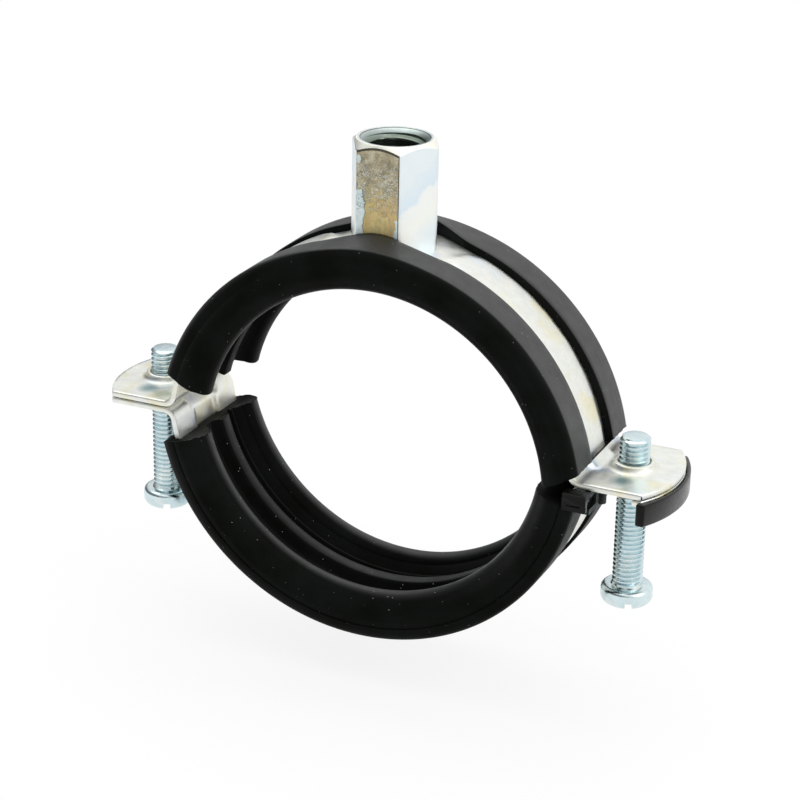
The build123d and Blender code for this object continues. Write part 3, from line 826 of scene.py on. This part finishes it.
def boss_mesh(steps=144):
    """Hexagon on the band with its turned top, mouth and threaded bore."""
    bm = bmesh.new()
    angles = [2 * pi * i / steps for i in range(steps)]

    def ring(radius_at, z_at):
        return [(radius_at(a) * cos(a), radius_at(a) * sin(a), z_at(a)) for a in angles]

    def foot(a):
        return -RING_SINK + sqrt(BAND_OUTER_RADIUS ** 2 - (boss_outline(a) * cos(a)) ** 2) - 0.05

    def turned(a, lower=0.0):
        slope = BOSS_CORNER_DROP / (BOSS_CORNER - BOSS_FLAT_RADIUS)
        return BOSS_TOP - slope * (boss_outline(a) - BOSS_FLAT_RADIUS) - lower

    rows = [ring(boss_outline, lambda a: foot(a) * (1 - t) + turned(a, 0.16) * t) for t in
            (0, 0.05, 0.2, 0.4, 0.6, 0.8, 0.95, 1)]
    rows.append(ring(lambda a: boss_outline(a) - 0.12, lambda a: turned(a, -0.04)))
    rows.append(ring(lambda a: BOSS_FLAT_RADIUS + 0.1, lambda a: BOSS_TOP - 0.04))
    rows.append(ring(lambda a: BOSS_FLAT_RADIUS - 0.15, lambda a: BOSS_TOP))
    rows.append(ring(lambda a: BOSS_MOUTH + 0.12, lambda a: BOSS_TOP))
    rows.append(ring(lambda a: BOSS_MOUTH - 0.06, lambda a: BOSS_TOP - 0.1))
    thread_top = BOSS_TOP - (BOSS_MOUTH - BOSS_THREAD_ROOT) - 0.1
    rows.append(ring(lambda a: BOSS_THREAD_ROOT, lambda a: thread_top))
    add_grid(bm, rows, close_columns=True)

    def bore_radius(z, phase):
        radius = thread_radius(phase, BOSS_BORE, BOSS_THREAD_ROOT, 2.0)
        return max(radius, BOSS_THREAD_ROOT - (thread_top - z))

    add_thread(bm, 0.0, BOSS_FLOOR, thread_top, BOSS_PITCH, bore_radius, steps=steps, cuts=16)
    bm.faces.new(add_lathe(bm, [(BOSS_THREAD_ROOT, BOSS_FLOOR), (0.5, BOSS_FLOOR)], 0.0)[-1])
    return bm


piece_from(boss_mesh(), "threaded_boss", "upper_half", boss_steel, "connection_boss", crease=30)


# ---- Plastic catch -----------------------------------------------------------------------

def rim_outer(y):
    """X of the rim's outer face, an arc round the ear tip."""
    radius = (HALF_BAND ** 2 + RIM_BULGE ** 2) / (2 * RIM_BULGE)
    return RIM_TIP - radius + sqrt(radius ** 2 - y ** 2)


def rim_inner(y):
    """X of the rim's inner face, which hooks a little way round the ear's corners."""
    return RIM_HOOK if abs(y) > HALF_BAND + 0.05 else ear_tip(y) + 0.12


def rim_mesh(steps=60):
    """Curved wall round the ear tip with rounded edges and ends."""
    bm = bmesh.new()
    middle, half = (RIM_TOP + RIM_BOTTOM) / 2, (RIM_TOP - RIM_BOTTOM) / 2
    stations = [-RIM_END + 2 * RIM_END * i / steps for i in range(steps + 1)]
    stations += [side * (HALF_BAND + gap) for side in (-1, 1) for gap in (0.04, 0.06)]
    rows = []
    for y in sorted(stations):
        low, high = rim_inner(y), rim_outer(y)
        turned = RIM_EDGE if abs(y) < RIM_END - 0.01 else RIM_END_EDGE
        corners = ((high, 1, 1), (high, -1, 1), (low, -1, -1), (low, 1, -1))
        row = []
        for x, up, out in corners:
            start = {(1, 1): 90, (-1, 1): 0, (-1, -1): -90, (1, -1): 180}[(up, out)]
            pivot = (x - out * turned, middle + up * (half - turned))
            row += [(px, y, pz) for px, pz in arc_points(pivot, turned, start, start - 90, 3)]
        rows.append(row)
    made = add_grid(bm, rows, close_columns=True)
    rims = []
    for row in (made[0], made[-1]):
        rims += row_edges(bm, row)
        bm.faces.new(row)
    bmesh.ops.bevel(bm, geom=rims, offset=RIM_END_ROUND, segments=3, profile=0.5, affect="EDGES")
    return bm


# Arm, lug and liner keep the construction's form; the rim beyond the slot is drawn anew
catch_core = bmesh.new()
catch_core.from_mesh(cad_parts["screw_catch"].data)
catch_core.transform(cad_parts["screw_catch"].matrix_world)
bmesh.ops.scale(catch_core, vec=(1 / MM, 1 / MM, 1 / MM), verts=catch_core.verts)
core = piece_from(catch_core, "catch_core", "lower_half", catch_plastic, "screw_catch",
                  crease=30)
for box in CORE_CUTS:
    cut_with(core, prism(box_outline(*box), *CORE_CUT_HEIGHTS))
weld = core.modifiers.new("weld", "WELD")
weld.merge_threshold = WELD_DISTANCE * MM
bevel = core.modifiers.new("bevel", "BEVEL")
bevel.width = CORE_EDGE * MM
bevel.segments = 2
bevel.limit_method = "ANGLE"
bevel.angle_limit = radians(40)
bevel.harden_normals = True
piece_from(rim_mesh(), "catch_rim", "lower_half", catch_plastic, crease=40)
tray = [(46.35, -9.2), (46.9, -9.2), *[(ear_tip(y) + 0.3, y) for y in range(-9, 10, 3)],
        (46.9, 9.8), (45.3, 9.8), (45.3, -3.8), (46.35, -4.2)]
piece_from(prism(tray, *TRAY_HEIGHTS), "catch_tray", "lower_half", catch_plastic, crease=30)

# The lug's top slopes up to the ear
brow = [(-11.87, -1.5), (-11.87, -0.42), (-11.7, -0.28), (-10.12, -0.05), (-10.12, -1.5)]
brow_bm = loft(*([(x, y, z) for y, z in brow] for x in (LUG_INNER + 0.03, LUG_OUTER - 0.03)))
piece_from(brow_bm, "catch_brow", "lower_half", catch_plastic, crease=30)


# ---- Floor, light and camera -------------------------------------------------------------

FLOOR_GLOW = 0.82
ROOM_BRIGHT_SIDE = (0.45, 0.25, 0.86)
ROOM_DARK = (0.13, 0.14, 0.15, 1)
ROOM_BRIGHT_FROM = 0.42
LAMP_POWER = 3.0


def empty_tree(owner):
    """Nodes and links of a material or world, cleared."""
    owner.use_nodes = True
    owner.node_tree.nodes.clear()
    return owner.node_tree.nodes, owner.node_tree.links


def ray_share(nodes, links, *kinds):
    """1 for rays of the named kinds and 0 for the others."""
    paths = nodes.new("ShaderNodeLightPath")
    value = paths.outputs[kinds[0]]
    for kind in kinds[1:]:
        either = nodes.new("ShaderNodeMath")
        either.operation = "MAXIMUM"
        links.new(value, either.inputs[0])
        links.new(paths.outputs[kind], either.inputs[1])
        value = either.outputs[0]
    return value


def mix_out(nodes, links, share, first, second, output):
    """Mix two shaders into the tree's output."""
    mix = nodes.new("ShaderNodeMixShader")
    out = nodes.new(output)
    links.new(share, mix.inputs["Fac"])
    links.new(first.outputs[0], mix.inputs[1])
    links.new(second.outputs[0], mix.inputs[2])
    links.new(mix.outputs[0], out.inputs["Surface"])


def stage_floor():
    """A white floor, low enough for the lower half to drop."""
    low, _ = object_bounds()
    bpy.ops.mesh.primitive_plane_add(size=6.0, location=(0, 0, low.z - LOWER_DROP * MM - 0.0002))
    floor = bpy.context.object
    floor.name = "floor"
    material = bpy.data.materials.new("floor_white")
    nodes, links = empty_tree(material)
    seen = ray_share(nodes, links, "Is Camera Ray", "Is Glossy Ray", "Is Transmission Ray")
    share = nodes.new("ShaderNodeMath")
    share.operation = "MULTIPLY"
    share.inputs[1].default_value = FLOOR_GLOW
    links.new(seen, share.inputs[0])
    paint = nodes.new("ShaderNodeBsdfDiffuse")
    paint.inputs["Color"].default_value = (0.9, 0.9, 0.9, 1)
    glow = nodes.new("ShaderNodeEmission")
    mix_out(nodes, links, share.outputs[0], paint, glow, "ShaderNodeOutputMaterial")
    floor.data.materials.append(material)


def light_world():
    """White to the eye. As a light, bright overhead and to the right and darker in front."""
    world = bpy.data.worlds.new("studio")
    bpy.context.scene.world = world
    nodes, links = empty_tree(world)
    seen = ray_share(nodes, links, "Is Camera Ray", "Is Transmission Ray")
    room, white = (nodes.new("ShaderNodeBackground") for _ in range(2))
    white.inputs["Color"].default_value = (1, 1, 1, 1)
    mix_out(nodes, links, seen, room, white, "ShaderNodeOutputWorld")
    where = nodes.new("ShaderNodeTexCoord")
    tilt = nodes.new("ShaderNodeVectorMath")
    tilt.operation = "DOT_PRODUCT"
    tilt.inputs[1].default_value = ROOM_BRIGHT_SIDE
    links.new(where.outputs["Generated"], tilt.inputs[0])
    ramp = nodes.new("ShaderNodeValToRGB")
    dark, bright = ramp.color_ramp.elements
    dark.position, dark.color = 0.0, ROOM_DARK
    bright.position, bright.color = ROOM_BRIGHT_FROM, (1, 1, 1, 1)
    links.new(tilt.outputs["Value"], ramp.inputs["Fac"])
    links.new(ramp.outputs["Color"], room.inputs["Color"])


def area_light(name, place, size):
    """Square lamp aimed at the pipe's centre."""
    light = bpy.data.lights.new(name, "AREA")
    light.shape = "RECTANGLE"
    light.size = light.size_y = size
    light.energy = LAMP_POWER
    lamp = bpy.data.objects.new(name, light)
    lamp.location = place
    lamp.rotation_euler = (-Vector(place)).to_track_quat("-Z", "Y").to_euler()
    bpy.context.scene.collection.objects.link(lamp)


def set_camera(focal_pixels, azimuth, elevation, roll, across, up, distance):
    """Camera from a solved view: focal length in pixels of an 800 pixel frame, distances in millimetres."""
    a, e, t = radians(azimuth), radians(elevation), radians(roll)
    right = Vector((cos(a), sin(a), 0))
    ahead = Vector((-sin(a) * cos(e), cos(a) * cos(e), -sin(e)))
    above = right.cross(ahead)
    right, above = right * cos(t) + above * sin(t), above * cos(t) - right * sin(t)
    camera = bpy.data.cameras.new("camera")
    camera.sensor_width = 36.0
    camera.lens = focal_pixels / 800 * 36.0
    camera.clip_start, camera.clip_end = 0.01, 20.0
    eye = bpy.data.objects.new("camera", camera)
    place = -(right * across + above * up + ahead * distance) * MM
    eye.matrix_world = Matrix((
        (right.x, above.x, -ahead.x, place.x),
        (right.y, above.y, -ahead.y, place.y),
        (right.z, above.z, -ahead.z, place.z),
        (0, 0, 0, 1),
    ))
    bpy.context.scene.collection.objects.link(eye)
    bpy.context.scene.camera = eye


stage_floor()
light_world()
area_light("top_light", (-0.2, 0.1, 0.9), 1.0)
area_light("side_light", (0.9, -0.2, 0.5), 0.8)
set_camera(focal_pixels=2333, azimuth=24.13, elevation=22.06, roll=1.163,
           across=-1.618, up=-4.144, distance=382.88)

bpy.context.scene.view_settings.view_transform = "Standard"
